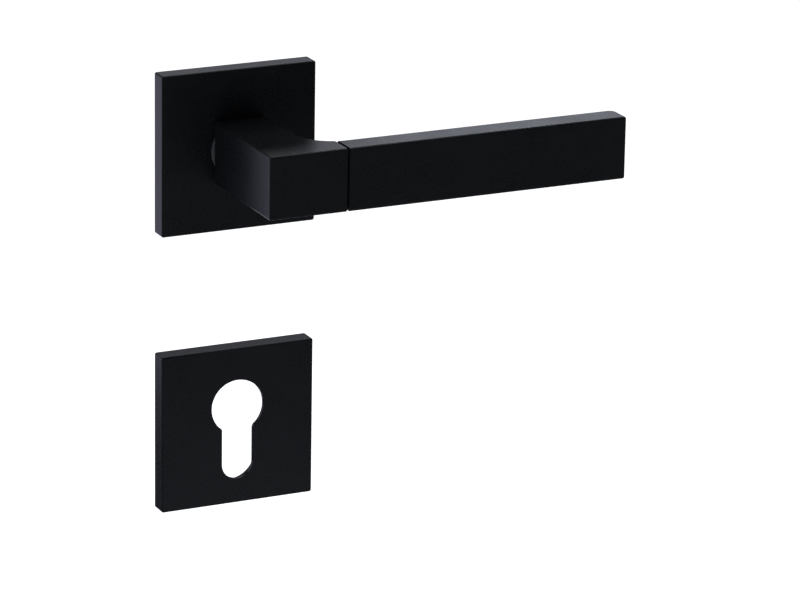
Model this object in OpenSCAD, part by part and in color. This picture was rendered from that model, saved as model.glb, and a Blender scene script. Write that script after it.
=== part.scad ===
// Lever handle on a slim square rose, with the matching key escutcheon below it.
// The origin is on the spindle axis at the door's face: +X runs along the lever,
// +Y into the door, +Z up. Sizes are in millimetres.

/* [Plates] */
// Side of the square rose and of the square escutcheon
plate_w = 52; // [51:0.5:56]
// Depth of a cover from the door to its front face
plate_t = 6; // [6:0.1:6.6]
// Thickness of a cover's front wall
front_wall = 1.2; // [1:0.1:1.3]
// Thickness of a cover's side walls
side_wall = 1.1; // [0.9:0.1:1.3]
// Chamfer on a cover's four outline corners
corner_cut = 0.6; // [0.3:0.1:1.5]
// Distance from the lever's axis down to the key cylinder's axis
lock_centres = 85; // [72:1:92]

/* [Lever] */
// Distance from the door to the lever's front face
projection = 50; // [48:0.5:56]
// Height of the bar and of the neck
bar_h = 20.2; // [19:0.1:21]
// Thickness of the bar
bar_t = 9.25; // [9:0.25:10]
// Distance from the axis to the free end
reach = 113.2; // [100:0.2:130]
// Width of the square neck
neck_w = 17.6; // [17.4:0.2:18.4]
// Radius of the inside corner between neck and bar
inner_r = 11.5; // [10:0.5:13]
// Distance from the axis to the shadow groove
groove_x = 17; // [16.5:0.5:19]
// Width of the shadow groove
groove_w = 0.8; // [0.8:0.1:2]
// Depth of the shadow groove
groove_d = 1; // [1:0.1:1.8]

/* [Mechanism] */
// Side of the square spindle
spindle_side = 8; // [8:1:8]
// Length of the spindle behind the door's face
spindle_back = 36; // [30:1:45]
// Radius of the round shank that turns in the bearing ring
shank_r = 8; // [7.8:0.1:8.2]
// Radius of the bearing ring's visible nose
ring_r = 9.4; // [9.4:0.1:9.8]
// Height of the bearing ring above the rose's face
ring_proud = 0.6; // [0.4:0.1:1]
// Radius of the return spring's loop, to the wire's centre
spring_loop_r = 11.5; // [11.3:0.1:11.7]
// Radius of the return spring's wire
wire_r = 0.85; // [0.7:0.05:0.85]

/* [Fixings] */
// Distance between the two threaded posts
post_pitch = 38; // [38:1:38]
// Outside radius of a post
post_r = 3.5; // [3.2:0.1:3.6]
// Radius of a post's thread, for M4
post_thread_r = 2; // [2:0.5:2]
// Length of a post behind the door's face
post_back = 6; // [4:1:10]
// Distance of a wood screw from the plate's two centre lines
wood_screw_at = 17; // [16.5:0.5:18]
// Radius of a wood screw's shank
wood_screw_r = 1.7; // [1.5:0.1:1.8]
// Length of a wood screw behind the door's face
wood_screw_back = 13; // [10:1:25]

/* [Key hole] */
// Radius of the profile cylinder hole's round part
key_r = 8.9; // [8.7:0.1:9.1]
// Width of the profile cylinder hole's leg
key_leg_w = 10.6; // [10.4:0.1:10.8]
// Distance from the round part's centre to the bottom of the leg
key_drop = 24.3; // [24:0.1:24.6]
// Height of the round part's centre above the plate's centre
key_above = 6.4; // [6:0.2:7]

/* [Hidden] */
$fn = 96;

running_gap = 0.3;
shaft_gap = 0.05;
press_gap = 0.02;
lap = 1;

black_coat = [0.09, 0.09, 0.10];
black_nylon = [0.16, 0.16, 0.17];
grey_nylon = [0.45, 0.46, 0.48];
zinc_steel = [0.72, 0.73, 0.75];
spring_steel = [0.55, 0.56, 0.58];
sintered = [0.42, 0.42, 0.43];

// Depths are measured from the door's face at y = 0, towards the room.
cover_back = -plate_t + front_wall;
base_front = cover_back + running_gap;
base_w = plate_w - 2 * (side_wall + running_gap);
web_back = base_front + 1.1;
ring_front = -plate_t - ring_proud;
shoulder = ring_front - running_gap;

bar_back = -projection + bar_t;
socket_w = spindle_side + 2 * shaft_gap;
socket_front = bar_back + 5;
spindle_front = socket_front + 0.5;
shank_back = web_back + running_gap;

rotor_r = 9.5;
rotor_boss_r = 6.5;
rotor_back = -1.3;
lug_half_w = 1.9;
lug_top = 12.75;

cage_front = -1;
cage_back = -0.2;
cage_half_w = 14.4;
cage_bottom = -14;
cage_top = 16.2;
cage_hole_r = rotor_boss_r + running_gap;
rivet_spots = [[-12, -11.5], [12, -11.5], [-12.6, 14.2], [12.6, 14.2]];
rivet_r = 1;
rivet_head_r = 1.7;
rivet_front = -2.8;
rivet_head = 0.4;

chamber_r = 13.2;
sweep_r = 15.4;
sweep_deg = 65;
stop_bottom = 13.3;

spring_y = (web_back + cage_front) / 2;
leg_r = wire_r + 0.07;
leg_x = lug_half_w + leg_r + shaft_gap;
leg_top = 14.5;
spring_gap_deg = asin(leg_x / spring_loop_r);
leg_bottom = spring_loop_r * cos(spring_gap_deg) - leg_r;

tenon_x = 5.5;
tenon_h = 10;
tenon_t = bar_t - 2 * groove_d;
tenon_y = -projection + groove_d;
grip_screw_x = 11.5;
grip_screw_r = 2.5;
spindle_screw_y = -15;
spindle_screw_r = 3;
screw_sunk = 0.3;
hex_depth = 2.5;

post_flange_r = 4.5;
post_flange_t = 1;
screw_head_r = 3.4;
screw_tip = 3.5;
head_cone = 1.6;
clip_w = 10;
clip_seat = base_w / 2 - 2;

escutcheon_z = -lock_centres - key_above;
base_key_clearance = 3;

// ---- shared shapes ----

// Extrudes a flat shape, drawn in X and Z, from y0 to y1.
module slab(y0, y1) {
    translate([0, y1, 0])
        rotate([90, 0, 0])
            linear_extrude(height = y1 - y0)
                children();
}

// A round bar or cone along Y, with radius r0 at y0 and r1 at y1.
module along_y(y0, y1, r0, r1) {
    translate([0, y0, 0])
        rotate([-90, 0, 0])
            cylinder(h = y1 - y0, r1 = r0, r2 = r1);
}

module cut_corner_square(w, cut) {
    h = w / 2;
    polygon([
        [-h + cut, -h], [h - cut, -h], [h, -h + cut], [h, h - cut],
        [h - cut, h], [-h + cut, h], [-h, h - cut], [-h, -h + cut]
    ]);
}

// The stem, the bar and the round inside corner between them, seen from above.
module lever_outline() {
    translate([-neck_w / 2, -projection])
        square([neck_w, projection + shoulder]);
    translate([-neck_w / 2, -projection])
        square([reach + neck_w / 2, bar_t]);
    difference() {
        translate([neck_w / 2 - lap, bar_back - lap])
            square(inner_r + lap);
        translate([neck_w / 2 + inner_r, bar_back + inner_r])
            circle(r = inner_r);
    }
}

// The hole for a profile cylinder: a circle with a round-ended leg below it.
module key_profile(r, leg_w, drop) {
    circle(r = r);
    translate([-leg_w / 2, -drop + leg_w / 2])
        square([leg_w, drop - leg_w / 2]);
    translate([0, -drop + leg_w / 2])
        circle(d = leg_w);
}

module cover_shell() {
    difference() {
        slab(-plate_t, 0)
            cut_corner_square(plate_w, corner_cut);
        slab(cover_back, lap)
            square(plate_w - 2 * side_wall, center = true);
    }
}

module at_posts() {
    for (side = [-1, 1])
        translate([side * post_pitch / 2, 0, 0])
            children();
}

module at_wood_screws() {
    for (side = [-1, 1])
        translate([side * wood_screw_at, 0, -side * wood_screw_at])
            children();
}

// A base block with its post holes, screw holes and slots for the clips.
module base_block() {
    difference() {
        slab(base_front, 0)
            square(base_w, center = true);
        at_posts() {
            along_y(base_front - lap, lap, post_r + press_gap, post_r + press_gap);
            along_y(
                base_front - lap, base_front + post_flange_t,
                post_flange_r + press_gap, post_flange_r + press_gap
            );
        }
        at_wood_screws() {
            along_y(base_front - lap, lap, wood_screw_r + 0.15, wood_screw_r + 0.15);
            along_y(
                base_front, base_front + head_cone,
                screw_head_r + 0.1, wood_screw_r + 0.1
            );
        }
        for (side = [-1, 1])
            translate([0, 0, side * (clip_seat + base_w / 4)])
                slab(base_front - lap, -0.4)
                    square([clip_w + 0.6, base_w / 2], center = true);
    }
}

// Two bowed leaf springs, in the slots at the top and the bottom of a base.
module clip_pair() {
    bow_y = base_front / 2 - 0.2;
    color(spring_steel)
        for (turn = [-90, 90])
            rotate([0, turn, 0])
                linear_extrude(height = clip_w, center = true)
                    polygon([
                        [clip_seat, base_front + 0.2],
                        [clip_seat + 0.5, base_front + 0.2],
                        [base_w / 2 + running_gap - shaft_gap, bow_y],
                        [clip_seat + 0.5, -0.6],
                        [clip_seat, -0.6],
                        [base_w / 2 - 0.3, bow_y]
                    ]);
}

// Two steel posts with a blind M4 thread, pressed into a base from the front.
module post_pair() {
    color(zinc_steel)
        at_posts()
            difference() {
                union() {
                    along_y(
                        base_front, base_front + post_flange_t,
                        post_flange_r, post_flange_r
                    );
                    along_y(base_front + post_flange_t, post_back, post_r, post_r);
                }
                along_y(base_front + 2, post_back + lap, post_thread_r, post_thread_r);
            }
}

// Two countersunk wood screws with a cross recess.
module wood_screw_pair() {
    color(zinc_steel)
        at_wood_screws()
            difference() {
                union() {
                    along_y(
                        base_front, base_front + head_cone,
                        screw_head_r, wood_screw_r
                    );
                    along_y(
                        base_front + head_cone, wood_screw_back - screw_tip,
                        wood_screw_r, wood_screw_r
                    );
                    along_y(
                        wood_screw_back - screw_tip, wood_screw_back,
                        wood_screw_r, 0.2
                    );
                }
                slab(base_front - lap, base_front + 1.1) {
                    square([3.6, 0.9], center = true);
                    square([0.9, 3.6], center = true);
                }
            }
}

// A headless screw standing on its point, with a hexagon socket in its lower end.
module set_screw(r, low, high, hex_r) {
    difference() {
        translate([0, 0, low])
            cylinder(h = high - low, r = r - press_gap);
        translate([0, 0, low - lap])
            cylinder(h = hex_depth + lap, r = hex_r, $fn = 6);
    }
}

// ---- the lever and what turns with it ----

module lever_neck() {
    color(black_coat)
        difference() {
            union() {
                linear_extrude(height = bar_h, center = true)
                    intersection() {
                        lever_outline();
                        translate([-neck_w, -projection - lap])
                            square([neck_w + groove_x, projection + lap]);
                    }
                along_y(shoulder - lap, shank_back, shank_r, shank_r);
            }
            slab(socket_front, shank_back + lap)
                square(socket_w, center = true);
            translate([tenon_x - 0.1, tenon_y - shaft_gap, -tenon_h / 2 - shaft_gap])
                cube([
                    groove_x - tenon_x + lap,
                    tenon_t + 2 * shaft_gap,
                    tenon_h + 2 * shaft_gap
                ]);
            translate([grip_screw_x, -projection + bar_t / 2, -bar_h / 2 - lap])
                cylinder(h = bar_h / 2 - tenon_h / 2 + 1.5 * lap, r = grip_screw_r);
            translate([0, spindle_screw_y, -bar_h / 2 - lap])
                cylinder(h = bar_h / 2 - socket_w / 2 + 1.5 * lap, r = spindle_screw_r);
        }
}

module lever_grip() {
    grip_x = groove_x + groove_w;
    core_h = bar_h - 2 * groove_d;
    color(black_coat) {
        linear_extrude(height = bar_h, center = true)
            intersection() {
                lever_outline();
                translate([grip_x, -projection - lap])
                    square([reach, bar_t + inner_r]);
            }
        translate([groove_x, tenon_y, -core_h / 2])
            cube([groove_w + lap, tenon_t, core_h]);
        translate([tenon_x, tenon_y, -tenon_h / 2])
            cube([grip_x - tenon_x + lap, tenon_t, tenon_h]);
    }
}

module grip_set_screw() {
    color(spring_steel)
        translate([grip_screw_x, -projection + bar_t / 2, 0])
            set_screw(grip_screw_r, -bar_h / 2 + screw_sunk, -tenon_h / 2, 1.45);
}

module spindle_set_screw() {
    color(spring_steel)
        translate([0, spindle_screw_y, 0])
            set_screw(spindle_screw_r, -bar_h / 2 + screw_sunk, -spindle_side / 2, 1.75);
}

module spindle() {
    color(zinc_steel)
        slab(spindle_front, spindle_back)
            cut_corner_square(spindle_side, 0.4);
}

module spring_rotor() {
    color(sintered)
        difference() {
            union() {
                slab(shank_back, rotor_back) {
                    circle(r = rotor_r);
                    translate([-lug_half_w, 0])
                        square([2 * lug_half_w, lug_top]);
                }
                slab(rotor_back - 0.5, cage_back)
                    circle(r = rotor_boss_r);
            }
            slab(shank_back - lap, lap)
                square(socket_w, center = true);
        }
}

// ---- the rose ----

module bearing_ring() {
    color(grey_nylon)
        difference() {
            union() {
                along_y(ring_front, base_front, ring_r, ring_r);
                along_y(base_front, web_back, shank_r + 0.9, shank_r + 0.9);
            }
            along_y(
                ring_front - lap, web_back + lap,
                shank_r + shaft_gap, shank_r + shaft_gap
            );
        }
}

module rose_cover() {
    color(black_coat)
        difference() {
            cover_shell();
            along_y(-plate_t - lap, 0, ring_r + 0.15, ring_r + 0.15);
        }
}

module rose_base() {
    color(black_nylon)
        difference() {
            base_block();
            along_y(base_front - lap, lap, shank_r + 0.92, shank_r + 0.92);
            difference() {
                slab(web_back, lap) {
                    circle(r = chamber_r);
                    intersection() {
                        circle(r = sweep_r);
                        polygon([
                            [0, 0],
                            [-plate_w * sin(sweep_deg), plate_w * cos(sweep_deg)],
                            [-plate_w, plate_w],
                            [plate_w, plate_w],
                            [plate_w * sin(sweep_deg), plate_w * cos(sweep_deg)]
                        ]);
                    }
                }
                translate([-lug_half_w, web_back - lap, stop_bottom])
                    cube([2 * lug_half_w, cage_front - web_back + lap, 5]);
            }
            slab(cage_front, lap)
                translate([-cage_half_w - press_gap, cage_bottom - press_gap])
                    square([
                        2 * (cage_half_w + press_gap),
                        cage_top - cage_bottom + 2 * press_gap
                    ]);
            for (spot = rivet_spots)
                translate([spot[0], 0, spot[1]])
                    along_y(rivet_front, 0, rivet_r + press_gap, rivet_r + press_gap);
        }
}

module return_spring() {
    color(spring_steel)
        translate([0, spring_y, 0]) {
            rotate([90, 0, 0])
                rotate([0, 0, 90 + spring_gap_deg])
                    rotate_extrude(angle = 360 - 2 * spring_gap_deg)
                        translate([spring_loop_r, 0])
                            circle(r = wire_r, $fn = 32);
            for (side = [-1, 1])
                translate([side * leg_x, 0, leg_bottom])
                    cylinder(h = leg_top - leg_bottom, r = leg_r, $fn = 32);
        }
}

module spring_cage_plate() {
    color(zinc_steel)
        difference() {
            slab(cage_front, cage_back)
                translate([-cage_half_w, cage_bottom])
                    square([2 * cage_half_w, cage_top - cage_bottom]);
            along_y(cage_front - lap, lap, cage_hole_r, cage_hole_r);
            for (spot = rivet_spots)
                translate([spot[0], 0, spot[1]]) {
                    along_y(cage_front - lap, lap, rivet_r + press_gap, rivet_r + press_gap);
                    along_y(
                        cage_back - rivet_head, lap,
                        rivet_head_r + press_gap, rivet_head_r + press_gap
                    );
                }
        }
}

module cage_plate_rivets() {
    color(spring_steel)
        for (spot = rivet_spots)
            translate([spot[0], 0, spot[1]]) {
                along_y(rivet_front, cage_back - rivet_head, rivet_r, rivet_r);
                along_y(cage_back - rivet_head, cage_back, rivet_head_r, rivet_head_r);
            }
}

module rose_cover_clips() {
    clip_pair();
}

module rose_bolt_posts() {
    post_pair();
}

module rose_wood_screws() {
    wood_screw_pair();
}

// ---- the escutcheon ----

module escutcheon_cover() {
    color(black_coat)
        translate([0, 0, escutcheon_z])
            difference() {
                cover_shell();
                slab(-plate_t - lap, 0)
                    translate([0, key_above])
                        key_profile(key_r, key_leg_w, key_drop);
            }
}

module escutcheon_base() {
    color(black_nylon)
        translate([0, 0, escutcheon_z])
            difference() {
                base_block();
                slab(base_front - lap, lap)
                    translate([0, key_above])
                        key_profile(
                            key_r + base_key_clearance,
                            key_leg_w + 2 * base_key_clearance,
                            key_drop + base_key_clearance - 1
                        );
            }
}

module escutcheon_clips() {
    translate([0, 0, escutcheon_z])
        clip_pair();
}

module escutcheon_bolt_posts() {
    translate([0, 0, escutcheon_z])
        post_pair();
}

module escutcheon_wood_screws() {
    translate([0, 0, escutcheon_z])
        wood_screw_pair();
}

lever_neck();
lever_grip();
grip_set_screw();
spindle_set_screw();
spindle();
spring_rotor();
bearing_ring();
rose_cover();
rose_base();
return_spring();
spring_cage_plate();
cage_plate_rivets();
rose_cover_clips();
rose_bolt_posts();
rose_wood_screws();
escutcheon_cover();
escutcheon_base();
escutcheon_clips();
escutcheon_bolt_posts();
escutcheon_wood_screws();
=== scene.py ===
import math

import bmesh
import bpy
from mathutils import Matrix, Vector


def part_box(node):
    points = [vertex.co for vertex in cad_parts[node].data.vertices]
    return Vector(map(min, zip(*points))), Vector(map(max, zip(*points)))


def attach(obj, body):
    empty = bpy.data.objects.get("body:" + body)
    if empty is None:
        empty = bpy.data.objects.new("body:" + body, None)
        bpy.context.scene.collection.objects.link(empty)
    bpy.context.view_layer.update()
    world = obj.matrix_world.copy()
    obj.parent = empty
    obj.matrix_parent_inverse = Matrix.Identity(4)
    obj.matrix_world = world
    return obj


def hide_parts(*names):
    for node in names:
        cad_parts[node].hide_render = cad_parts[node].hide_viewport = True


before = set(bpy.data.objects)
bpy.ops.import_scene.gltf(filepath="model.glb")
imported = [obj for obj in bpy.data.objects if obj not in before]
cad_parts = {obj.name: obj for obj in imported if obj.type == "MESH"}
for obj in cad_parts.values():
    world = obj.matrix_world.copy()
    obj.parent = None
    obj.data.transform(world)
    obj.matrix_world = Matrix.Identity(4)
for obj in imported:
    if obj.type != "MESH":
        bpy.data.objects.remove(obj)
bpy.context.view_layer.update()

# ---- the rose's base ----
# A block of glass-filled nylon, moulded in one piece with the return spring's
# chamber in its back. It lies flat on the door inside the rose cover, and two posts
# and two wood screws hold it there.
MM = 0.001
ROUND_SIDES = 96
PLAY = 0.02
POST_X = 19
POST_R, POST_HEAD_R = 3.5, 4.5
WOOD_SCREW_AT = 17
CLIP_SEAT = 22.6
BASE_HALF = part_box("rose_base")[1].x / MM
BASE_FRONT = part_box("rose_base")[0].y / MM
CHAMBER_FRONT, CHAMBER_R = -3.4, 13.2
COLLAR_R = 8.9
CAGE_FRONT = -1
CAGE_SIDE, CAGE_BOTTOM, CAGE_TOP = 14.4, -14, 16.2


def start_piece(name):
    """Names the new primitive and puts its place in its mesh."""
    piece = bpy.context.object
    piece.name = name
    piece.data.name = name
    bpy.ops.object.transform_apply(location=True, rotation=True, scale=True)
    return piece


def block(name, low, high):
    """A cube primitive that fills the box from low to high, in millimetres."""
    bpy.ops.object.select_all(action="DESELECT")
    low, high = Vector(low), Vector(high)
    bpy.ops.mesh.primitive_cube_add(
        size=1, location=(low + high) / 2 * MM, scale=(high - low) * MM
    )
    return start_piece(name)


def round_bar(name, x, z, y0, y1, r0, r1=None, sides=ROUND_SIDES):
    """A cylinder or cone along Y, with radius r0 at y0 and r1 at y1, in millimetres."""
    bpy.ops.object.select_all(action="DESELECT")
    bpy.ops.mesh.primitive_cone_add(
        vertices=sides,
        radius1=r0 * MM,
        radius2=(r0 if r1 is None else r1) * MM,
        depth=(y1 - y0) * MM,
        location=(x * MM, (y0 + y1) / 2 * MM, z * MM),
        rotation=(-math.pi / 2, 0, 0),
    )
    return start_piece(name)


def work_on(piece):
    """Makes the piece the active one, and the only one selected."""
    bpy.ops.object.select_all(action="DESELECT")
    piece.select_set(True)
    bpy.context.view_layer.objects.active = piece


def finish_modifier(piece, kind, **settings):
    """Adds one modifier with these settings, and applies it."""
    work_on(piece)
    modifier = piece.modifiers.new(kind.lower(), kind)
    for name, value in settings.items():
        setattr(modifier, name, value)
    bpy.ops.object.modifier_apply(modifier=modifier.name)


def combine(piece, operation, *tools):
    """Cuts the tools out of the piece, or joins them to it, and removes them."""
    for tool in tools:
        finish_modifier(
            piece, "BOOLEAN", operation=operation, object=tool, solver="EXACT"
        )
        bpy.data.objects.remove(tool)


def pick(piece, kind, wanted):
    """Goes into edit mode and selects the verts, edges or faces that pass the test,
    which gets their corners in millimetres and the element itself."""
    work_on(piece)
    bpy.ops.object.mode_set(mode="EDIT")
    bpy.ops.mesh.select_mode(type=kind[:-1].upper())
    bpy.ops.mesh.select_all(action="DESELECT")
    work = bmesh.from_edit_mesh(piece.data)
    work.normal_update()
    for element in getattr(work, kind):
        corners = [element] if kind == "verts" else element.verts
        if wanted([corner.co / MM for corner in corners], element):
            element.select_set(True)
    work.select_flush_mode()
    bmesh.update_edit_mesh(piece.data)


def soften(piece, width, segments=3, where=lambda corners: True):
    """Rounds the piece's sharp edges that pass the test, by width in millimetres."""
    pick(
        piece,
        "edges",
        lambda corners, edge: len(edge.link_faces) == 2
        and edge.calc_face_angle() > math.radians(35)
        and where(corners),
    )
    bpy.ops.mesh.bevel(offset=width * MM, segments=segments, profile=0.5)
    bpy.ops.object.mode_set(mode="OBJECT")


def shade(piece):
    """Smooth shading on the rounded edges that leaves the flat faces flat."""
    work_on(piece)
    bpy.ops.object.shade_smooth_by_angle(angle=math.radians(40))
    finish_modifier(piece, "WEIGHTED_NORMAL", keep_sharp=True, weight=100)


def procedural(name, colours, roughness, grain_mm, bump_mm, metallic=0.0):
    """A finish whose colour and roughness drift between two values in soft patches,
    over a fine grain that also stands up from the surface."""
    material = bpy.data.materials.new(name)
    material.use_nodes = True
    nodes, links = material.node_tree.nodes, material.node_tree.links
    shader = nodes["Principled BSDF"]
    shader.inputs["Metallic"].default_value = metallic
    place = nodes.new("ShaderNodeTexCoord")
    patches = nodes.new("ShaderNodeTexNoise")
    patches.inputs["Scale"].default_value = 90
    patches.inputs["Detail"].default_value = 4
    grain = nodes.new("ShaderNodeTexNoise")
    grain.inputs["Scale"].default_value = 1 / (grain_mm * MM)
    grain.inputs["Detail"].default_value = 3
    halved = nodes.new("ShaderNodeMath")
    halved.operation = "MULTIPLY"
    halved.inputs[1].default_value = 0.5
    mixed = nodes.new("ShaderNodeMath")
    mixed.operation = "MULTIPLY_ADD"
    mixed.inputs[1].default_value = 0.5
    ramp = nodes.new("ShaderNodeValToRGB")
    for stop, position, colour in zip(ramp.color_ramp.elements, (0.35, 0.65), colours):
        stop.position = position
        stop.color = (*colour, 1)
    spread = nodes.new("ShaderNodeMapRange")
    spread.inputs["From Min"].default_value = 0.3
    spread.inputs["From Max"].default_value = 0.7
    spread.inputs["To Min"].default_value = roughness[0]
    spread.inputs["To Max"].default_value = roughness[1]
    bump = nodes.new("ShaderNodeBump")
    bump.inputs["Distance"].default_value = bump_mm * MM
    links.new(place.outputs["Object"], patches.inputs["Vector"])
    links.new(place.outputs["Object"], grain.inputs["Vector"])
    links.new(patches.outputs["Fac"], halved.inputs[0])
    links.new(grain.outputs["Fac"], mixed.inputs[0])
    links.new(halved.outputs[0], mixed.inputs[2])
    links.new(mixed.outputs[0], ramp.inputs["Fac"])
    links.new(mixed.outputs[0], spread.inputs["Value"])
    links.new(ramp.outputs["Color"], shader.inputs["Base Color"])
    links.new(spread.outputs["Result"], shader.inputs["Roughness"])
    links.new(grain.outputs["Fac"], bump.inputs["Height"])
    links.new(bump.outputs["Normal"], shader.inputs["Normal"])
    return material


def paint(piece, material):
    """Gives the piece this material and no other."""
    piece.data.materials.clear()
    piece.data.materials.append(material)


def hand_over(piece, material, body, node):
    """Shades and paints a finished piece, which then stands for its CAD node."""
    shade(piece)
    paint(piece, material)
    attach(piece, body)
    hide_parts(node)


def turned(name, outline, sides=ROUND_SIDES, open_middle=False):
    """A turned piece on the Y axis. The outline is a list of (y, radius) in
    millimetres, from one end's middle to the other's, or round a ring."""
    bpy.ops.object.select_all(action="DESELECT")
    y, radius = outline[0]
    bpy.ops.mesh.primitive_circle_add(
        vertices=sides,
        radius=radius * MM,
        fill_type="NOTHING" if open_middle else "NGON",
        location=(0, y * MM, 0),
        rotation=(-math.pi / 2, 0, 0),
    )
    piece = start_piece(name)
    bpy.ops.object.mode_set(mode="EDIT")
    bpy.ops.mesh.select_mode(type="EDGE" if open_middle else "FACE")
    bpy.ops.mesh.select_all(action="SELECT")
    for next_y, next_radius in outline[1:]:
        bpy.ops.mesh.extrude_region_move(
            TRANSFORM_OT_translate={"value": (0, (next_y - y) * MM, 0)}
        )
        grown = next_radius / radius
        bpy.ops.transform.resize(
            value=(grown, 1, grown), center_override=(0, next_y * MM, 0)
        )
        y, radius = next_y, next_radius
    bpy.ops.mesh.select_all(action="SELECT")
    bpy.ops.mesh.remove_doubles(threshold=0.0005 * MM)
    bpy.ops.mesh.normals_make_consistent(inside=False)
    bpy.ops.object.mode_set(mode="OBJECT")
    return piece


def place(piece, x, y, z, upright=False):
    """Moves a piece made on the Y axis to its place, or stands it on the Z axis."""
    work_on(piece)
    piece.location = Vector((x, y, z)) * MM
    if upright:
        piece.rotation_euler.x = math.pi / 2
    bpy.ops.object.transform_apply(location=True, rotation=True, scale=True)


def moulded_base(name, centre_z):
    """What the rose's and the escutcheon's base share: a block with its holes for
    posts and screws, and its slots for the clips."""
    low, high = centre_z - BASE_HALF, centre_z + BASE_HALF
    body = block(name, (-BASE_HALF, BASE_FRONT, low), (BASE_HALF, 0, high))
    soften(body, 0.8, where=lambda corners: abs(corners[0].y - corners[1].y) > 1)
    soften(body, 0.2, segments=2)
    past = BASE_FRONT - 1
    seat_y, seat_r, hole_r = BASE_FRONT + 1, POST_HEAD_R + PLAY, POST_R + PLAY
    for side in (-1, 1):
        post_hole = turned(
            "post_hole", [(past, seat_r), (seat_y, seat_r), (seat_y, hole_r), (1, hole_r)]
        )
        place(post_hole, side * POST_X, 0, centre_z)
        screw_x, screw_z = side * WOOD_SCREW_AT, centre_z - side * WOOD_SCREW_AT
        screw_hole = turned(
            "screw_hole", [(past, 4.55), (BASE_FRONT + 1.55, 1.85), (1, 1.85)]
        )
        place(screw_hole, screw_x, 0, screw_z)
        slot_ends = sorted((centre_z + side * CLIP_SEAT, centre_z + side * 30))
        combine(
            body,
            "DIFFERENCE",
            post_hole,
            screw_hole,
            block("clip_slot", (-5.3, past, slot_ends[0]), (5.3, -0.4, slot_ends[1])),
            round_bar("ejector_mark", -screw_x, screw_z, -0.12, 1, 2.2),
            round_bar("ejector_mark", -screw_x, screw_z, past, BASE_FRONT + 0.12, 2.2),
        )
    return body


black_nylon = procedural(
    "glass_filled_nylon",
    colours=((0.012, 0.012, 0.013), (0.024, 0.024, 0.026)),
    roughness=(0.42, 0.6),
    grain_mm=0.35,
    bump_mm=0.02,
)
rose_body = moulded_base("rose_body", 0)
sweep = round_bar("sweep", 0, 0, CHAMBER_FRONT, 1, 15.4)
combine(sweep, "INTERSECT", block("upper_half", (-16, -5, 6.51), (16, 2, 16)))
combine(sweep, "DIFFERENCE", block("spring_stop", (-1.9, -5, 13.3), (1.9, CAGE_FRONT, 17)))
combine(
    rose_body,
    "DIFFERENCE",
    round_bar("bearing_seat", 0, 0, BASE_FRONT - 1, 1, COLLAR_R + PLAY),
    round_bar("chamber", 0, 0, CHAMBER_FRONT, 1, CHAMBER_R),
    sweep,
    block(
        "cage_seat",
        (-CAGE_SIDE - PLAY, CAGE_FRONT, CAGE_BOTTOM - PLAY),
        (CAGE_SIDE + PLAY, 1, CAGE_TOP + PLAY),
    ),
)
hand_over(rose_body, black_nylon, "door_plates", "rose_base")

# ---- posts ----
# Two steel posts with a blind thread are pressed into each base from the front. The
# bolts from the other side of the door screw into them.
THREAD_PITCH = 0.7


def thread(y0, y1, root, crest, pitch):
    """The (y, radius) points of a thread's flanks from y0 towards y1."""
    step = math.copysign(pitch / 2, y1 - y0)
    count = int(abs(y1 - y0) / (pitch / 2))
    return [(y0 + i * step, crest if i % 2 else root) for i in range(count + 1)]


def copy_of(piece, name):
    """A copy with its own mesh."""
    work_on(piece)
    bpy.ops.object.duplicate()
    return start_piece(name)


zinc_steel = procedural(
    "zinc_plated_steel",
    colours=((0.50, 0.51, 0.54), (0.66, 0.67, 0.70)),
    roughness=(0.24, 0.42),
    grain_mm=0.5,
    bump_mm=0.006,
    metallic=1.0,
)
post = turned(
    "post",
    [(-4.35, 0.45), (-4.5, 0.75), (-4.5, POST_HEAD_R - 0.2), (-4.3, POST_HEAD_R)]
    + [(-3.5, POST_HEAD_R), (-3.5, POST_R), (5.6, POST_R), (6, POST_R - 0.4), (6, 2.2)]
    + thread(5.8, -1.9, 2, 1.68, THREAD_PITCH)
    + [(-2.5, 1.68)],
    sides=64,
)
escutcheon_low, escutcheon_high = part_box("escutcheon_cover")
ESCUTCHEON_Z = (escutcheon_low.z + escutcheon_high.z) / 2 / MM
for plate, plate_z, node in (
    ("rose", 0, "rose_bolt_posts"),
    ("escutcheon", ESCUTCHEON_Z, "escutcheon_bolt_posts"),
):
    for side, x in (("left", -POST_X), ("right", POST_X)):
        own = copy_of(post, f"{plate}_post_{side}")
        place(own, x, 0, plate_z)
        hand_over(own, zinc_steel, "door_plates", node)
bpy.data.objects.remove(post)

# ---- wood screws ----
# Two countersunk steel screws with a cross recess hold each base on the door while
# the bolts go in. The thread is rolled, and runs out on the pointed tip.
WOOD_PITCH = 1.4
TIP_FROM, TIP_END = 9.5, 13
WOOD_CORE_R, WOOD_THREAD_R = 1.15, 1.7
RIDGE_R = 0.4

wood_screw = turned(
    "wood_screw",
    [(-4.5, 3.25), (-4.42, 3.38), (-4.25, 3.38), (-2.9, 1.7), (-2.2, 1.55)]
    + [(-1.9, WOOD_CORE_R), (TIP_FROM, WOOD_CORE_R), (TIP_END, 0.12)],
    sides=48,
)
combine(
    wood_screw,
    "DIFFERENCE",
    block("recess", (-1.8, -5.5, -0.45), (1.8, -3.4, 0.45)),
    block("recess", (-0.45, -5.5, -1.8), (0.45, -3.4, 1.8)),
    round_bar("recess", 0, 0, -4.6, -3.3, 1.05, 0.4, sides=24),
)
bpy.ops.object.select_all(action="DESELECT")
bpy.ops.mesh.primitive_circle_add(
    vertices=3,
    radius=RIDGE_R * MM,
    fill_type="NOTHING",
    location=((WOOD_THREAD_R - RIDGE_R) * MM, -1.6 * MM, 0),
    rotation=(0, 0, -math.pi / 2),
)
ridge = start_piece("ridge")
finish_modifier(
    ridge,
    "SCREW",
    axis="Y",
    screw_offset=WOOD_PITCH * MM,
    iterations=9,
    steps=24,
    render_steps=24,
    use_merge_vertices=False,
    use_smooth_shade=False,
)
work_on(ridge)
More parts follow.
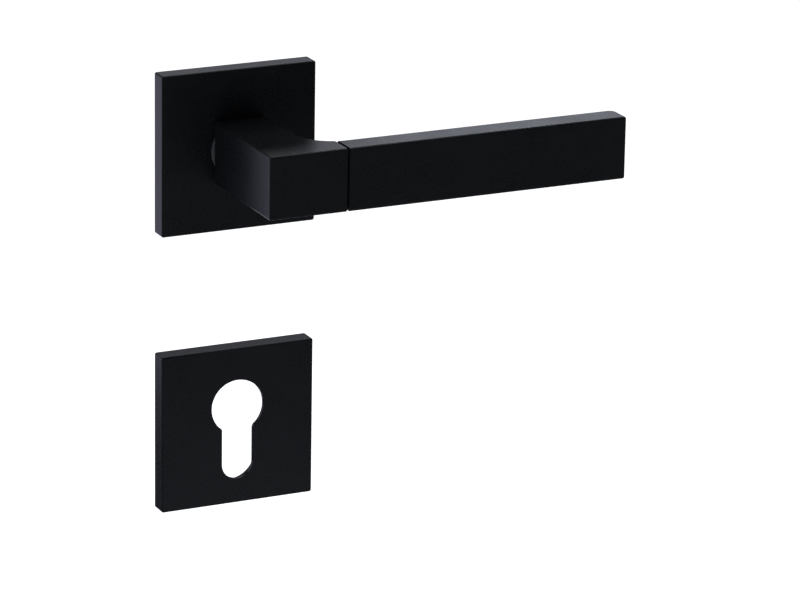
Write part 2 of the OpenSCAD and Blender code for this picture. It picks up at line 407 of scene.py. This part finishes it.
bpy.ops.object.mode_set(mode="EDIT")
bpy.ops.mesh.select_all(action="SELECT")
bpy.ops.mesh.fill_holes(sides=4)
bpy.ops.mesh.normals_make_consistent(inside=False)
bpy.ops.object.mode_set(mode="OBJECT")
for vertex in ridge.data.vertices:
    share = min(1, (TIP_END - vertex.co.y / MM) / (TIP_END - TIP_FROM))
    vertex.co.x *= share
    vertex.co.z *= share
work_on(wood_screw)
ridge.select_set(True)
bpy.ops.object.join()
for plate, plate_z, node in (
    ("rose", 0, "rose_wood_screws"),
    ("escutcheon", ESCUTCHEON_Z, "escutcheon_wood_screws"),
):
    for side, x in (("left", -WOOD_SCREW_AT), ("right", WOOD_SCREW_AT)):
        own = copy_of(wood_screw, f"{plate}_wood_screw_{side}")
        place(own, x, 0, plate_z - x)
        hand_over(own, zinc_steel, "door_plates", node)
bpy.data.objects.remove(wood_screw)

# ---- clips ----
# Bowed leaf springs, stamped from blue-grey steel strip. They sit in the slots at
# the top and the bottom of each base and press on the cover's walls.
CLIP_LONG, CLIP_WIDE, CLIP_THICK = 10, 3.7, 0.45
CLIP_MIDDLE_Y = -2.45
CLIP_ROWS = 9
CLIP_BOW = 1.72

spring_steel = procedural(
    "spring_steel",
    colours=((0.24, 0.25, 0.27), (0.38, 0.39, 0.41)),
    roughness=(0.28, 0.45),
    grain_mm=0.4,
    bump_mm=0.006,
    metallic=1.0,
)
bpy.ops.object.select_all(action="DESELECT")
bpy.ops.mesh.primitive_grid_add(
    x_subdivisions=1,
    y_subdivisions=CLIP_ROWS - 1,
    size=CLIP_WIDE * MM,
    location=(0, CLIP_MIDDLE_Y * MM, (CLIP_SEAT + 0.25) * MM),
)
bpy.context.object.scale.x = CLIP_LONG / CLIP_WIDE
clip = start_piece("clip")
for row in range(1, CLIP_ROWS - 1):
    along = row / (CLIP_ROWS - 1)
    row_y = CLIP_MIDDLE_Y + CLIP_WIDE * (along - 0.5)
    pick(clip, "verts", lambda corners, vertex: abs(corners[0].y - row_y) < 0.05)
    bpy.ops.transform.translate(value=(0, 0, CLIP_BOW * math.sin(math.pi * along) * MM))
    bpy.ops.object.mode_set(mode="OBJECT")
finish_modifier(clip, "SOLIDIFY", thickness=CLIP_THICK * MM, offset=0)
soften(clip, 0.08, segments=2)
for plate, plate_z, node in (
    ("rose", 0, "rose_cover_clips"),
    ("escutcheon", ESCUTCHEON_Z, "escutcheon_clips"),
):
    for side, turn in (("top", 0), ("bottom", math.pi)):
        own = copy_of(clip, f"{plate}_clip_{side}")
        own.rotation_euler.y = turn
        place(own, 0, 0, plate_z)
        hand_over(own, spring_steel, "door_plates", node)
bpy.data.objects.remove(clip)

# ---- rotor, return spring and cage plate ----
# The sintered rotor and the wire spring lie in the chamber, behind a stamped and
# zinc-plated plate that four small rivets hold.
sintered_iron = procedural(
    "sintered_iron",
    colours=((0.16, 0.155, 0.15), (0.26, 0.255, 0.25)),
    roughness=(0.5, 0.7),
    grain_mm=0.18,
    bump_mm=0.03,
    metallic=1.0,
)
paint(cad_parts["spring_rotor"], sintered_iron)
paint(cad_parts["return_spring"], spring_steel)

RIVET_SPOTS = ((-12, -11.5), (12, -11.5), (-12.6, 14.2), (12.6, 14.2))
cage = block(
    "cage_plate", (-CAGE_SIDE, CAGE_FRONT, CAGE_BOTTOM), (CAGE_SIDE, -0.2, CAGE_TOP)
)
soften(cage, 1, segments=4, where=lambda corners: abs(corners[0].y - corners[1].y) > 0.5)
combine(cage, "DIFFERENCE", round_bar("hole", 0, 0, -2, 1, 6.8))
for x, z in RIVET_SPOTS:
    combine(
        cage,
        "DIFFERENCE",
        round_bar("hole", x, z, -2, 1, 1.02, sides=32),
        round_bar("hole", x, z, -0.6, 1, 1.72, sides=32),
    )
soften(cage, 0.1, segments=2)
hand_over(cage, zinc_steel, "door_plates", "spring_cage_plate")
rivet = turned(
    "rivet",
    [(-2.8, 0.85), (-2.6, 1), (-0.6, 1), (-0.6, 1.6), (-0.4, 1.7), (-0.28, 1.5)]
    + [(-0.21, 1.1), (-0.2, 0.7), (-0.32, 0.4)],
    sides=32,
)
for number, (x, z) in enumerate(RIVET_SPOTS, 1):
    own = copy_of(rivet, f"cage_rivet_{number}")
    place(own, x, 0, z)
    hand_over(own, spring_steel, "door_plates", "cage_plate_rivets")
bpy.data.objects.remove(rivet)

# ---- bearing ring ----
# A grey nylon collar, pressed into the base, that the lever's shank turns in. Its
# nose stands a little proud of the rose. Its colour is painted lighter than the
# nylon's own dark grey, as a painted highlight that brightens the glint on the nose.
RING_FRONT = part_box("bearing_ring")[0].y / MM
RING_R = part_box("bearing_ring")[1].x / MM
BORE_R = 8.05

# Dark grey nylon, with its colour raised as a painted highlight for the ring's glint.
grey_nylon = procedural(
    "grey_nylon",
    colours=((0.050, 0.054, 0.062), (0.068, 0.073, 0.082)),
    roughness=(0.2, 0.3),
    grain_mm=0.4,
    bump_mm=0.01,
)
ring = turned(
    "bearing_collar",
    [(RING_FRONT + 0.2, BORE_R), (RING_FRONT, BORE_R + 0.2), (RING_FRONT, RING_R - 0.4)]
    + [(RING_FRONT + 0.03, RING_R - 0.25), (RING_FRONT + 0.12, RING_R - 0.12)]
    + [(RING_FRONT + 0.25, RING_R - 0.03), (RING_FRONT + 0.4, RING_R)]
    + [(-4.5, RING_R), (-4.5, COLLAR_R), (-3.6, COLLAR_R), (-3.4, COLLAR_R - 0.2)]
    + [(-3.4, BORE_R), (RING_FRONT + 0.2, BORE_R)],
    sides=128,
    open_middle=True,
)
hand_over(ring, grey_nylon, "door_plates", "bearing_ring")

# ---- rose cover ----
# A square cap of pressed and die-cut metal with a matt black powder coat. It snaps
# over the base, and the bearing ring's nose comes through its round hole.
PLATE_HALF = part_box("rose_cover")[1].x / MM
PLATE_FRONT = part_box("rose_cover")[0].y / MM
SIDE_WALL = 1.1
FRONT_WALL = 1.2

black_coat = procedural(
    "black_powder_coat",
    colours=((0.0056, 0.0066, 0.0084), (0.0074, 0.0086, 0.0109)),
    roughness=(0.25, 0.33),
    grain_mm=0.45,
    bump_mm=0.006,
)


def square_cap(name, centre_z):
    """A cover with softly rounded edges, open towards the door."""
    cap = block(
        name,
        (-PLATE_HALF, PLATE_FRONT, centre_z - PLATE_HALF),
        (PLATE_HALF, 0, centre_z + PLATE_HALF),
    )
    soften(cap, 0.6, segments=4, where=lambda corners: abs(corners[0].y - corners[1].y) > 1)
    soften(cap, 0.45, segments=4, where=lambda corners: corners[0].y < -1)
    inside = PLATE_HALF - SIDE_WALL
    combine(
        cap,
        "DIFFERENCE",
        block(
            "inside",
            (-inside, PLATE_FRONT + FRONT_WALL, centre_z - inside),
            (inside, 1, centre_z + inside),
        ),
    )
    return cap


rose_cap = square_cap("rose_cap", 0)
combine(rose_cap, "DIFFERENCE", round_bar("hole", 0, 0, -8, -2, RING_R + 0.15, sides=128))
soften(
    rose_cap,
    0.15,
    segments=2,
    where=lambda corners: corners[0].y < PLATE_FRONT + 0.1
    and corners[0].xz.length < RING_R + 0.6,
)
hand_over(rose_cap, black_coat, "door_plates", "rose_cover")

# ---- spindle ----
# An 8 mm square bar of zinc-plated steel with chamfered ends. It drives the rotor
# and goes on into the lock.
spindle_low, spindle_high = (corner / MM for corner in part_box("spindle"))
square_bar = block("square_spindle", spindle_low, spindle_high)
soften(square_bar, 0.4, segments=2, where=lambda corners: abs(corners[0].y - corners[1].y) > 9)
soften(square_bar, 0.6, segments=1)
hand_over(square_bar, zinc_steel, "lever", "spindle")

# ---- neck ----
# The square block that bends from the door to the bar, cast in zinc alloy and powder
# coated. Neck and bar share one outline, and a shadow groove parts them. Its round
# shank turns in the bearing ring.
NECK_HALF = -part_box("lever_neck")[0].x / MM
HALF_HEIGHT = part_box("lever_neck")[1].z / MM
LEVER_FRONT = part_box("lever_neck")[0].y / MM
NECK_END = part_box("lever_neck")[1].x / MM
FREE_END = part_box("lever_grip")[1].x / MM
BAR_BACK = LEVER_FRONT + 9.25
SHOULDER = RING_FRONT - 0.3
INNER_R = 11.5
GROOVE_W = 0.8
GROOVE_D = 1
TENON_START, TENON_HALF = 5.5, 5
TENON_FRONT, TENON_BACK = LEVER_FRONT + GROOVE_D, BAR_BACK - GROOVE_D
SOCKET_HALF = 4.05
SLIP = 0.05
GRIP_SCREW_AT = (11.5, (LEVER_FRONT + BAR_BACK) / 2)
SPINDLE_SCREW_AT = (0, -15)


def trim(piece, x, keep):
    """Cuts the piece across at x, and closes the cut."""
    pick(piece, "faces", lambda corners, face: True)
    bpy.ops.mesh.bisect(
        plane_co=(x * MM, 0, 0),
        plane_no=(1, 0, 0),
        use_fill=True,
        clear_inner=keep == "right",
        clear_outer=keep == "left",
        threshold=0.001 * MM,
    )
    bpy.ops.object.mode_set(mode="OBJECT")


whole_lever = block(
    "whole_lever",
    (-NECK_HALF, LEVER_FRONT, -HALF_HEIGHT),
    (NECK_HALF, SHOULDER, HALF_HEIGHT),
)
pick(whole_lever, "faces", lambda corners, face: True)
bpy.ops.mesh.bisect(
    plane_co=(0, BAR_BACK * MM, 0), plane_no=(0, 1, 0), threshold=0.001 * MM
)
bpy.ops.object.mode_set(mode="OBJECT")
pick(
    whole_lever,
    "faces",
    lambda corners, face: face.normal.x > 0.9
    and max(corner.y for corner in corners) < BAR_BACK + 0.1,
)
bpy.ops.mesh.extrude_region_move(
    TRANSFORM_OT_translate={"value": ((FREE_END - NECK_HALF) * MM, 0, 0)}
)
bpy.ops.object.mode_set(mode="OBJECT")
pick(
    whole_lever,
    "edges",
    lambda corners, edge: all(
        abs(c.x - NECK_HALF) < 0.01 and abs(c.y - BAR_BACK) < 0.01 for c in corners
    ),
)
bpy.ops.mesh.bevel(offset=INNER_R * MM, segments=18, profile=0.5)
bpy.ops.mesh.select_all(action="SELECT")
bpy.ops.mesh.dissolve_limited(angle_limit=math.radians(1))
bpy.ops.object.mode_set(mode="OBJECT")


def soften_by_groove(piece, width, groove_x):
    """Rounds all edges of the neck or the grip at once, but those by the groove, which
    stay crisper."""
    soften(
        piece,
        width,
        segments=5,
        where=lambda corners: any(abs(c.x - groove_x) > 0.01 for c in corners),
    )
    soften(
        piece,
        0.15,
        segments=3,
        where=lambda corners: all(abs(c.x - groove_x) < 0.01 for c in corners),
    )


neck = copy_of(whole_lever, "neck")
trim(neck, NECK_END, "left")
soften_by_groove(neck, 0.6, NECK_END)
combine(neck, "UNION", round_bar("shank", 0, 0, SHOULDER - 1, -3.1, 8, sides=128))
combine(
    neck,
    "DIFFERENCE",
    block("socket", (-SOCKET_HALF, -36, -SOCKET_HALF), (SOCKET_HALF, 0, SOCKET_HALF)),
    block(
        "tenon_seat",
        (TENON_START - 0.1, TENON_FRONT - SLIP, -TENON_HALF - SLIP),
        (20, TENON_BACK + SLIP, TENON_HALF + SLIP),
    ),
)
for x, y, radius, top in ((*GRIP_SCREW_AT, 2.5, -4.5), (*SPINDLE_SCREW_AT, 3, -3.5)):
    hole = round_bar("screw_hole", 0, 0, -12, top, radius, sides=64)
    place(hole, x, y, 0, upright=True)
    combine(neck, "DIFFERENCE", hole)
    soften(
        neck,
        0.2,
        segments=2,
        where=lambda corners: corners[0].z < -HALF_HEIGHT + 0.01
        and (corners[0].xy - Vector((x, y))).length < radius + 0.1,
    )
hand_over(neck, black_coat, "lever", "lever_neck")

# ---- grip ----
# The flat bar that the hand takes, cast and coated like the neck. Behind the shadow
# groove it steps down to a core, and its tenon goes into the neck.
GRIP_START = NECK_END + GROOVE_W

grip = copy_of(whole_lever, "grip")
bpy.data.objects.remove(whole_lever)
trim(grip, GRIP_START, "right")
soften(
    grip,
    2.5,
    segments=8,
    where=lambda corners: all(c.x > FREE_END - 0.1 and c.y > BAR_BACK - 0.1 for c in corners),
)
soften_by_groove(grip, 0.7, GRIP_START)
combine(
    grip,
    "UNION",
    block(
        "core",
        (NECK_END, TENON_FRONT, GROOVE_D - HALF_HEIGHT),
        (GRIP_START + 1, TENON_BACK, HALF_HEIGHT - GROOVE_D),
    ),
    block(
        "tenon",
        (TENON_START, TENON_FRONT, -TENON_HALF),
        (GRIP_START + 1, TENON_BACK, TENON_HALF),
    ),
)
hand_over(grip, black_coat, "lever", "lever_grip")

# ---- grub screws ----
# Two blackened steel screws with a hexagon socket. One holds the grip's tenon, and
# the other holds the neck on the spindle, both from below.
blackened_steel = procedural(
    "blackened_steel",
    colours=((0.05, 0.05, 0.052), (0.09, 0.09, 0.092)),
    roughness=(0.35, 0.5),
    grain_mm=0.3,
    bump_mm=0.01,
    metallic=1.0,
)
for name, node, x, y, radius, hex_r, pitch in (
    ("grip_grub_screw", "grip_set_screw", *GRIP_SCREW_AT, 2.48, 1.45, 0.8),
    ("spindle_grub_screw", "spindle_set_screw", *SPINDLE_SCREW_AT, 2.98, 1.75, 1.0),
):
    low, high = (corner.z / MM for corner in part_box(node))
    grub = turned(
        name,
        [(low, radius - 0.35), (low + 0.25, radius - 0.05)]
        + thread(low + 0.4, high - 1, radius - 0.35, radius, pitch)
        + [(high - 0.6, radius - 0.4), (high, radius * 0.55)],
        sides=48,
    )
    combine(
        grub,
        "DIFFERENCE",
        round_bar("socket", 0, 0, low - 1, low + 2.5, hex_r, sides=6),
        round_bar("lead_in", 0, 0, low - 0.01, low + 0.25, hex_r + 0.12, hex_r - 0.2, sides=32),
    )
    place(grub, x, y, 0, upright=True)
    hand_over(grub, blackened_steel, "lever", node)

# ---- the escutcheon's base ----
# The same nylon block as the rose's, with a wide opening for the profile cylinder.
KEY_Z = -85
KEY_R, KEY_LEG_W, KEY_DROP = 8.9, 10.6, 24.3


def cut_key_hole(piece, radius, leg_w, drop, fillet):
    """Cuts the profile cylinder's outline through a plate: round, with a leg below,
    and small fillets where the two meet."""
    half = leg_w / 2
    end_z = KEY_Z - drop + half
    tool = round_bar("key_bar", 0, KEY_Z, -8, 1, radius)
    combine(
        tool,
        "UNION",
        block("leg", (-half, -8, end_z), (half, 1, KEY_Z)),
        round_bar("leg_end", 0, end_z, -8, 1, half, sides=64),
    )
    pick(tool, "faces", lambda corners, face: True)
    bpy.ops.mesh.dissolve_limited(angle_limit=math.radians(1))
    bpy.ops.object.mode_set(mode="OBJECT")
    junction_z = KEY_Z - math.sqrt(radius**2 - half**2)

    def from_junction(corners):
        """How far an edge that runs through the plate is from where round and leg meet."""
        if abs(corners[0].y - corners[1].y) < 5:
            return math.inf
        return math.hypot(abs(corners[0].x) - half, corners[0].z - junction_z)

    pick(tool, "edges", lambda corners, edge: 0.05 < from_junction(corners) < fillet * 1.7)
    bpy.ops.mesh.dissolve_edges(use_verts=True)
    bpy.ops.object.mode_set(mode="OBJECT")
    pick(tool, "edges", lambda corners, edge: from_junction(corners) <= 0.05)
    bpy.ops.mesh.bevel(offset=fillet * MM, segments=5, profile=0.5)
    bpy.ops.object.mode_set(mode="OBJECT")
    combine(piece, "DIFFERENCE", tool)


key_body = moulded_base("escutcheon_body", ESCUTCHEON_Z)
cut_key_hole(key_body, KEY_R + 3, KEY_LEG_W + 6, KEY_DROP + 2, fillet=1)
hand_over(key_body, black_nylon, "door_plates", "escutcheon_base")

# ---- the escutcheon's cover ----
# A second square cap like the rose's, with the profile cylinder's hole cut through
# its front. It pulls off its base towards the room.
key_cap = square_cap("escutcheon_cap", ESCUTCHEON_Z)
cut_key_hole(key_cap, KEY_R, KEY_LEG_W, KEY_DROP, fillet=0.8)
soften(
    key_cap,
    0.15,
    segments=2,
    where=lambda corners: corners[0].y < PLATE_FRONT + 0.01
    and all(abs(c.x) < KEY_R + 1 and abs(c.z - KEY_Z) < KEY_DROP + 1 for c in corners),
)
hand_over(key_cap, black_coat, "key_cover", "escutcheon_cover")

# ---- studio ----
# A pale floor well below the set, and softboxes round it. Narrow ones behind light
# the tops, wide and low ones behind light the left sides, and weak ones stand in
# front. The two far ones light the set from the other sides.
FLOOR_Z = -0.22
bpy.ops.object.select_all(action="DESELECT")
bpy.ops.mesh.primitive_plane_add(size=30, location=(0, 0, FLOOR_Z))
floor = bpy.context.object
floor.name = "floor"
floor.visible_glossy = False
floor.visible_shadow = False
floor_paint = bpy.data.materials.new("pale_floor")
floor_paint.use_nodes = True
floor_shader = floor_paint.node_tree.nodes["Principled BSDF"]
floor_shader.inputs["Base Color"].default_value = (0.9, 0.9, 0.9, 1)
floor_shader.inputs["Roughness"].default_value = 0.9
floor_shader.inputs["Emission Color"].default_value = (1, 1, 1, 1)
floor_shader.inputs["Emission Strength"].default_value = 0.95
paint(floor, floor_paint)


def softbox(name, centre, faces, width, height, glow, colour=(1, 1, 1)):
    """A lamp the shape of an upright panel that faces along a direction. The glow is
    how bright the panel itself looks."""
    lamp = bpy.data.lights.new(name, "AREA")
    lamp.shape = "RECTANGLE"
    lamp.size, lamp.size_y = width, height
    lamp.energy = glow * math.pi * width * height
    lamp.color = colour
    stand = bpy.data.objects.new(name, lamp)
    bpy.context.scene.collection.objects.link(stand)
    stand.location = centre
    stand.rotation_euler = Vector(faces).to_track_quat("-Z", "Y").to_euler()
    stand.visible_camera = False


COOL, VIOLET = (0.84, 0.88, 1), (0.76, 0.74, 1)
softbox("back_right", (0.68, 0.5, 0.215), (0, -1, 0), 0.8, 0.11, 1.85, COOL)
softbox("back_middle", (0.115, 0.5, 0.205), (0, -1, 0), 0.33, 0.1, 0.9, COOL)
softbox("back_low_left", (-0.48, 0.5, -0.085), (0, -1, 0), 0.86, 0.33, 0.58, VIOLET)
softbox("back_low_right", (0.5, 0.5, -0.12), (0, -1, 0), 0.9, 0.24, 0.4, COOL)
softbox("back_under", (0.1, 0.5, -0.37), (0, -1, 0.2), 0.36, 0.2, 1.2, COOL)
softbox("right_side", (1, 0.1, 0.2), (-1, 0, 0), 1.2, 0.8, 0.3, COOL)
softbox("left_side", (-1.2, -0.2, 0.2), (1, 0, 0), 1.0, 0.8, 0.16, COOL)
softbox("above", (0.05, 0, 1.3), (0, 0, -1), 1.2, 1.2, 1.1)
softbox("front_low", (0.25, -0.45, -0.42), (-0.4, 0.8, 0.6), 0.35, 0.25, 0.25, COOL)
softbox("behind", (0, 0.6, 0.9), (0, -0.8, -0.6), 1.2, 0.5, 0.5)
softbox("far_left", (-0.8, 0.55, 0.4), (0.8, -0.5, -0.4), 0.7, 0.4, 0.9, COOL)
softbox("far_right", (0.9, 0.55, -0.35), (-0.9, -0.5, 0.35), 0.6, 0.4, 0.9, COOL)
softbox("front_left", (-0.5, -0.45, -0.28), (0.5, 0.45, 0.28), 0.35, 0.25, 0.16, COOL)

world = bpy.data.worlds.new("studio_air")
world.use_nodes = True
bpy.context.scene.world = world
air, air_links = world.node_tree.nodes, world.node_tree.links
air["Background"].inputs["Color"].default_value = (0.9, 0.94, 1, 1)
air["Background"].inputs["Strength"].default_value = 0.02
seen_air = air.new("ShaderNodeBackground")
seen_air.inputs["Color"].default_value = (1, 1, 1, 1)
seen_air.inputs["Strength"].default_value = 1
ray = air.new("ShaderNodeLightPath")
either = air.new("ShaderNodeMixShader")
air_links.new(ray.outputs["Is Camera Ray"], either.inputs["Fac"])
air_links.new(air["Background"].outputs[0], either.inputs[1])
air_links.new(seen_air.outputs[0], either.inputs[2])
air_links.new(either.outputs[0], air["World Output"].inputs["Surface"])
bpy.context.scene.view_settings.view_transform = "Standard"

# ---- camera ----
# A long lens about a metre and a half away, from the left of the lever and a little
# above it, turned by one degree about its own axis.
AZIMUTH, ELEVATION, ROLL = (math.radians(angle) for angle in (-25.56, 17.86, 0.97))
DISTANCE = 1.466
TARGET = Vector((0.05945, 0.00017, -0.05855))
lens = bpy.data.cameras.new("camera")
lens.sensor_width = 36
lens.lens = 204.52
lens.clip_start = 0.05
lens.clip_end = 60
camera = bpy.data.objects.new("camera", lens)
bpy.context.scene.collection.objects.link(camera)
back = Vector(
    (
        math.sin(AZIMUTH) * math.cos(ELEVATION),
        -math.cos(AZIMUTH) * math.cos(ELEVATION),
        math.sin(ELEVATION),
    )
)
right = Vector((math.cos(AZIMUTH), math.sin(AZIMUTH), 0))
up = back.cross(right)
turned_right = right * math.cos(ROLL) + up * math.sin(ROLL)
turned_up = -right * math.sin(ROLL) + up * math.cos(ROLL)
aim = Matrix((turned_right, turned_up, back)).transposed().to_4x4()
camera.matrix_world = Matrix.Translation(TARGET + back * DISTANCE) @ aim
bpy.context.scene.camera = camera
